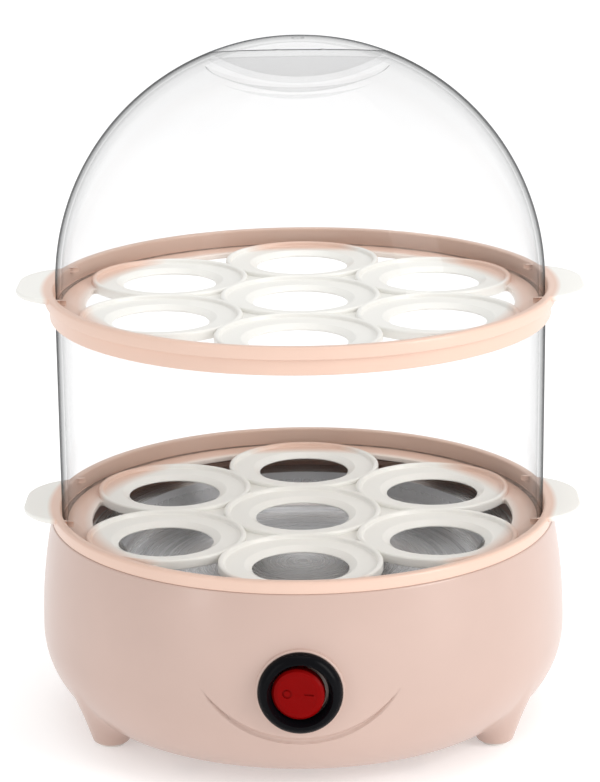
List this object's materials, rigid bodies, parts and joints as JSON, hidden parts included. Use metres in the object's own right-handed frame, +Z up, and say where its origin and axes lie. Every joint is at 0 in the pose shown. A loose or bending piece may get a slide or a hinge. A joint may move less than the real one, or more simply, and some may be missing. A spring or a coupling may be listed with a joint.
{
  "type": "egg cooker",
  "caption": "Two-tier electric egg cooker: round heated base on three legs, two eared egg trays, clear ring and domed clear lid, rocker switch.",
  "frame": {"origin": "on the table under the middle of the body, at the underside of the foot pads", "axes": "+Z up, -Y out through the switch at the front, +X to the right of someone facing the front"},
  "size_m": [0.1848, 0.1818, 0.2266],
  "materials": {
    "body_plastic": "satin moulded pink-beige polypropylene",
    "tray_plastic": "satin moulded cream polypropylene, slightly translucent",
    "clear_plastic": "clear polished polystyrene",
    "stainless": "spun and brushed stainless steel",
    "spring_steel": "plated steel",
    "aluminium_plate": "milled aluminium",
    "element_sheath": "oxidised metal sheath",
    "terminal_brass": "bright brass",
    "silicone": "soft matt silicone",
    "switch_black": "glossy black nylon",
    "rocker_red": "glossy translucent red polycarbonate",
    "nylon_white": "natural nylon",
    "ceramic": "unglazed porcelain",
    "phenolic": "dark phenolic",
    "sleeve": "woven glass-fibre sleeve",
    "lamp_glass": "clear lamp glass",
    "wire_brown": "insulated wire",
    "wire_blue": "insulated wire",
    "wire_white": "insulated wire"
  },
  "bodies": {
    "base": {"base_housing": "body_plastic", "bottom_cover": "body_plastic", "cover_screws": "spring_steel", "foot_pads": "silicone", "deck_ring": "tray_plastic", "deck_screws": "spring_steel", "pan_seal": "silicone", "water_pan": "stainless", "heat_plate": "aluminium_plate", "heating_element": "element_sheath", "element_insulators": "ceramic", "clamp_bracket": "spring_steel", "clamp_washer": "spring_steel", "clamp_nut": "terminal_brass", "thermostat": "phenolic", "thermostat_tabs": "terminal_brass", "thermostat_clip": "spring_steel", "thermostat_screws": "spring_steel", "thermal_fuse": "stainless", "fuse_sleeve": "sleeve", "fuse_clip": "spring_steel", "switch_body": "switch_black", "switch_terminals": "terminal_brass", "indicator_lamp": "lamp_glass", "cord_gland": "switch_black", "cord_clamp": "nylon_white", "cord_clamp_screws": "spring_steel", "terminal_block": "ceramic", "terminal_screws": "terminal_brass", "live_wire": "wire_brown", "neutral_wire": "wire_blue", "switch_wire": "wire_white", "fuse_wire": "wire_white"},
    "rocker": {"rocker": "rocker_red", "rocker_plunger": "nylon_white", "rocker_spring": "spring_steel"},
    "contact": {"contact_lever": "terminal_brass"},
    "lower_tray": {"lower_tray": "tray_plastic"},
    "clear_ring": {"clear_ring": "clear_plastic"},
    "upper_tray": {"upper_tray": "tray_plastic"},
    "lid": {"lid": "clear_plastic"}
  },
  "joints": [
    {"name": "rocker_tilt", "type": "hinge", "parent": "base", "child": "rocker", "pos_m": [0, -0.0843, 0.038], "axis": [0, 0, 1], "range_deg": [0, 16]},
    {"name": "contact_tilt", "type": "hinge", "parent": "base", "child": "contact", "pos_m": [0, -0.0755, 0.038], "axis": [0, 0, 1], "range_deg": [-14, 0]},
    {"name": "lower_tray_lift", "type": "slide", "parent": "base", "child": "lower_tray", "axis": [0, 0, 1], "range_m": [0, 0.09]},
    {"name": "ring_lift", "type": "slide", "parent": "lower_tray", "child": "clear_ring", "axis": [0, 0, 1], "range_m": [0, 0.09]},
    {"name": "upper_tray_lift", "type": "slide", "parent": "clear_ring", "child": "upper_tray", "axis": [0, 0, 1], "range_m": [0, 0.09]},
    {"name": "lid_lift", "type": "slide", "parent": "upper_tray", "child": "lid", "axis": [0, 0, 1], "range_m": [0, 0.1]}
  ],
  "couplings": [
    {"joint": "contact_tilt", "follows": "rocker_tilt", "ratio": -0.875}
  ]
}
